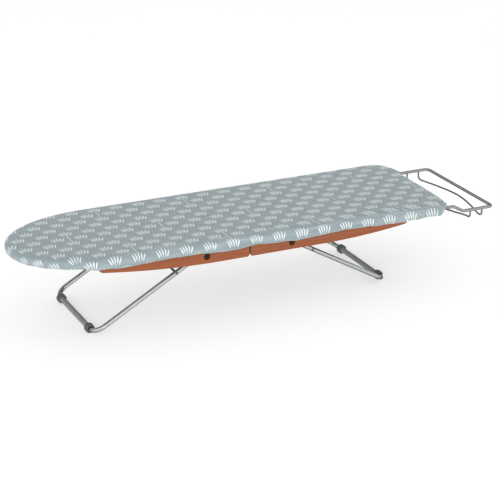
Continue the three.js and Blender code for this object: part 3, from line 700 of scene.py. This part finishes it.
def mend(made):
    """Merges points that fall together, such as the spine's, and faces the surface outwards."""
    work = bmesh.new()
    work.from_mesh(made.data)
    bmesh.ops.remove_doubles(work, verts=work.verts, dist=1e-6)
    bmesh.ops.dissolve_degenerate(work, edges=work.edges, dist=1e-7)
    bmesh.ops.recalc_face_normals(work, faces=work.faces)
    top = [f for f in work.faces if f.calc_center_median().z > DECK_TOP - MM]
    if sum(f.normal.z * f.calc_area() for f in top) < 0:
        bmesh.ops.reverse_faces(work, faces=work.faces)
    for face in work.faces:
        face.smooth = True
    work.to_mesh(made.data)
    work.free()


STITCH_RING = -7  # the ring that the stitches lie on, counted from the hem's last
STITCH_LENGTH, STITCH_HALF = 0.0030, 0.00045  # length and half width
STITCH_FLAT = 0.6  # of its width, a stitch's thickness
STITCH_PLACES = (0.27, 0.77)  # along each column
STITCH_SHARE = 0.4  # a stitch takes up no more of its column than this
STITCH_EDGE = 0.002  # a column shorter than this has none
# A stitch's sections: place along it, -1 to 1, share of its width, and lift off the cloth.
STITCH_SECTIONS = ((-1, 0.4, -0.0001), (-0.6, 1, 0.0003), (0.6, 1, 0.0003), (1, 0.4, -0.0001))


def make_stitches(rings):
    """A row of short raised stitches round the hem, two to a column."""
    ring = rings[STITCH_RING]
    side = np.column_stack([outward(ring[:, :2]), np.zeros(COUNT)])
    verts, faces = [], []
    for i in range(COUNT):
        a, b = Vector(ring[i]), Vector(ring[(i + 1) % COUNT])
        run = b - a
        if run.length < STITCH_EDGE:
            continue
        for part in STITCH_PLACES:
            middle = a + run * part
            along = run.normalized() * min(STITCH_LENGTH, run.length * STITCH_SHARE) / 2
            out = Vector(side[i])
            rise = along.cross(out).normalized() * STITCH_HALF
            first = len(verts)
            for end, width, lift in STITCH_SECTIONS:
                for u, v in ((1, 0), (0, 1), (-1, 0), (0, -1)):
                    verts.append(middle + along * end + rise * (u * width)
                                 + out * (lift + STITCH_HALF * STITCH_FLAT * v * width))
            for k in range(3):
                for c in range(4):
                    p, q = first + 4 * k + c, first + 4 * k + (c + 1) % 4
                    faces.append((p, q, q + 4, p + 4))
            faces.append(tuple(first + c for c in (3, 2, 1, 0)))
            faces.append(tuple(first + 12 + c for c in (0, 1, 2, 3)))
    return new_object("cover_stitches", verts, faces, [thread_material()])


FELT_ROUND = 0.75  # of the felt's height, by which its upper edge rounds down
FELT_CUT = 1.2 * MM  # the rounding of its lower edge


def make_felt():
    """The pad: one piece of felt with soft rounded edges."""
    inset = SQUARE_X - FELT_HIGH.x
    low, high = FELT_LOW.z, FELT_HIGH.z
    middle = spine()
    rings = []
    for z, order, across, down in ((high, 1, SHOULDER_WIDE, (high - low) * FELT_ROUND),
                                   (low, -1, FELT_CUT, FELT_CUT)):
        part = []
        for t in (0, 0.2, 0.4, 0.6, 0.8, 1):
            part.append(with_height(middle * (1 - t) + line_at(0.0, inset + across) * t, z))
        for a in np.radians((22, 45, 68, 90)):
            line = line_at(0.0, inset + across * (1 - math.sin(a)))
            part.append(with_height(line, z - order * down * (1 - math.cos(a))))
        rings += part[::order]
    verts, faces = loft(rings)
    felt = new_object("pad_felt", verts, faces, [felt_material()])
    mend(felt)
    return felt


cover, cover_ring_list = make_cover()
stitches = make_stitches(cover_ring_list)
felt = make_felt()
for piece in (cover, stitches, felt):
    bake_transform(piece)
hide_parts("nose_cover", "square_cover")
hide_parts("nose_felt", "square_felt")

# ---- Materials of the CAD nodes ----
WOOD = rail_material()
BOARD = board_material()
# edge: the share of painted dark reflection along each bar's outline.
TUBE = metal_material("bright_tube", srgb(176, 181, 184), srgb(196, 200, 203), 0.26, 0.9, edge=0.88)
REST = metal_material("bright_rod", srgb(152, 156, 159), srgb(172, 176, 179), 0.28, 0.9, edge=0.85)
WIRE = metal_material("bright_wire", srgb(118, 121, 124), srgb(140, 143, 146), 0.3, 0.9, edge=0.8)
ZINC = metal_material("zinc_plate", srgb(168, 170, 174), srgb(198, 200, 203), 0.32, 0.95)
# The pivot bolts' own black, deepened and tinted red-brown as painted shade of the wood recess round each
# head; the spacers share it.
BLACK_STEEL_AND_RECESS_SHADE = metal_material("black_steel_and_recess_shade", srgb(24, 15, 13), srgb(36, 24, 21), 0.5, 0.3)
GRIP = grip_material()
RUBBER = rubber_material()

# The first key that is part of a node's name gives its material.
FINISHES = (
    ("rail_", WOOD), ("panel", BOARD), ("leg_tube", TUBE), ("rest_frame", REST),
    ("rest_wire", WIRE), ("cross_rod", WIRE), ("prop_guide", ZINC), ("_prop", WIRE),
    ("pivot_bolt", BLACK_STEEL_AND_RECESS_SHADE), ("pivot_spacer", BLACK_STEEL_AND_RECESS_SHADE), ("pivot_nut", ZINC), ("foot_sleeve", GRIP),
    ("foot_ring", RUBBER), ("hinge", ZINC), ("rest_saddle", ZINC), ("lock", ZINC),
)


def finish_of(name):
    return next(material for key, material in FINISHES if key in name)


EDGE_ROUND = {"rail_": 0.9 * MM, "panel": 1.2 * MM}
OTHER_ROUND = 0.25 * MM
SHARP = math.radians(38)  # an edge that turns by more than this is rounded
for name, node in NODES.items():
    if node.hide_render:
        continue
    node.data.materials.clear()
    node.data.materials.append(finish_of(name))
    node.data.shade_smooth()
    width = next((w for key, w in EDGE_ROUND.items() if key in name), OTHER_ROUND)
    bevel = node.modifiers.new("edges", "BEVEL")
    bevel.width = width
    bevel.segments = 3 if width > OTHER_ROUND else 2
    bevel.limit_method = "ANGLE"
    bevel.angle_limit = SHARP
    bevel.harden_normals = True

# ---- Floor, light and camera ----
FLOOR_HALF = 9
FLOOR_GLOW = 0.51  # makes the floor as pale as the world behind it
WORLD_LIGHT = 1.25
WHITE_UP_TO = 0.45  # sine of the angle over the horizon from which the world darkens upwards
WORLD_TOP = (0.14, 0.14, 0.14, 1)
LIGHTS = (  # name, place, what it points at, size, watts
    ("overhead", (0.1, 0.2, 2.6), (0, 0, 0), (3.2, 2.4), 7),
    ("front", (-1.7, -2.9, 0.85), (0, 0, 0.1), (1.8, 1.1), 48),
)
CAMERA_PLACE = (-1.45895, -3.1112, 1.4403)
CAMERA_RIGHT = (0.904676, -0.426099, 0.000508)
CAMERA_BACK = (-0.396493, -0.841380, 0.367249)
CAMERA_LENS = 123.45  # millimetres, for a sensor 36 mm wide


def add_floor():
    h = FLOOR_HALF
    mesh = bpy.data.meshes.new("floor")
    mesh.from_pydata([(-h, -h, 0), (h, -h, 0), (h, h, 0), (-h, h, 0)], [], [(0, 1, 2, 3)])
    floor = bpy.data.objects.new("floor", mesh)
    bpy.context.scene.collection.objects.link(floor)
    graph = Graph("pale_floor", roughness=0.8, Emission_Color=(1, 1, 1, 1),
                  Emission_Strength=FLOOR_GLOW)
    mottle = graph.noise(graph.place(), 3.0, 2.0)
    graph.colour(graph.mix(mottle, (0.55, 0.55, 0.555, 1), (0.58, 0.58, 0.584, 1)))
    mesh.materials.append(graph.material)


def add_area(name, place, target, size, energy):
    light = bpy.data.lights.new(name, "AREA")
    light.shape = "RECTANGLE"
    light.size, light.size_y = size
    light.energy = energy
    made = bpy.data.objects.new(name, light)
    bpy.context.scene.collection.objects.link(made)
    made.location = place
    made.rotation_euler = (Vector(target) - Vector(place)).to_track_quat("-Z", "Y").to_euler()


def add_world():
    world = bpy.data.worlds.new("studio")
    world.use_nodes = True
    tree = world.node_tree
    coord = tree.nodes.new("ShaderNodeTexCoord")
    split = tree.nodes.new("ShaderNodeSeparateXYZ")
    ramp = tree.nodes.new("ShaderNodeValToRGB")
    tree.links.new(coord.outputs["Generated"], split.inputs[0])
    tree.links.new(split.outputs["Z"], ramp.inputs[0])
    ramp.color_ramp.elements[0].position = WHITE_UP_TO
    ramp.color_ramp.elements[0].color = (1, 1, 1, 1)
    ramp.color_ramp.elements[1].position = 1.0
    ramp.color_ramp.elements[1].color = WORLD_TOP
    background = tree.nodes["Background"]
    tree.links.new(ramp.outputs[0], background.inputs["Color"])
    background.inputs["Strength"].default_value = WORLD_LIGHT
    bpy.context.scene.world = world


def add_camera():
    data = bpy.data.cameras.new("camera")
    data.sensor_width = 36
    data.lens = CAMERA_LENS
    data.clip_start, data.clip_end = 0.1, 50
    camera = bpy.data.objects.new("camera", data)
    bpy.context.scene.collection.objects.link(camera)
    back = Vector(CAMERA_BACK).normalized()
    up = back.cross(Vector(CAMERA_RIGHT)).normalized()
    right = up.cross(back).normalized()
    turn = Matrix((right, up, back)).transposed().to_4x4()
    camera.matrix_world = Matrix.Translation(CAMERA_PLACE) @ turn
    bpy.context.scene.camera = camera


add_floor()
add_world()
for light in LIGHTS:
    add_area(*light)
add_camera()
bpy.context.scene.view_settings.view_transform = "Standard"
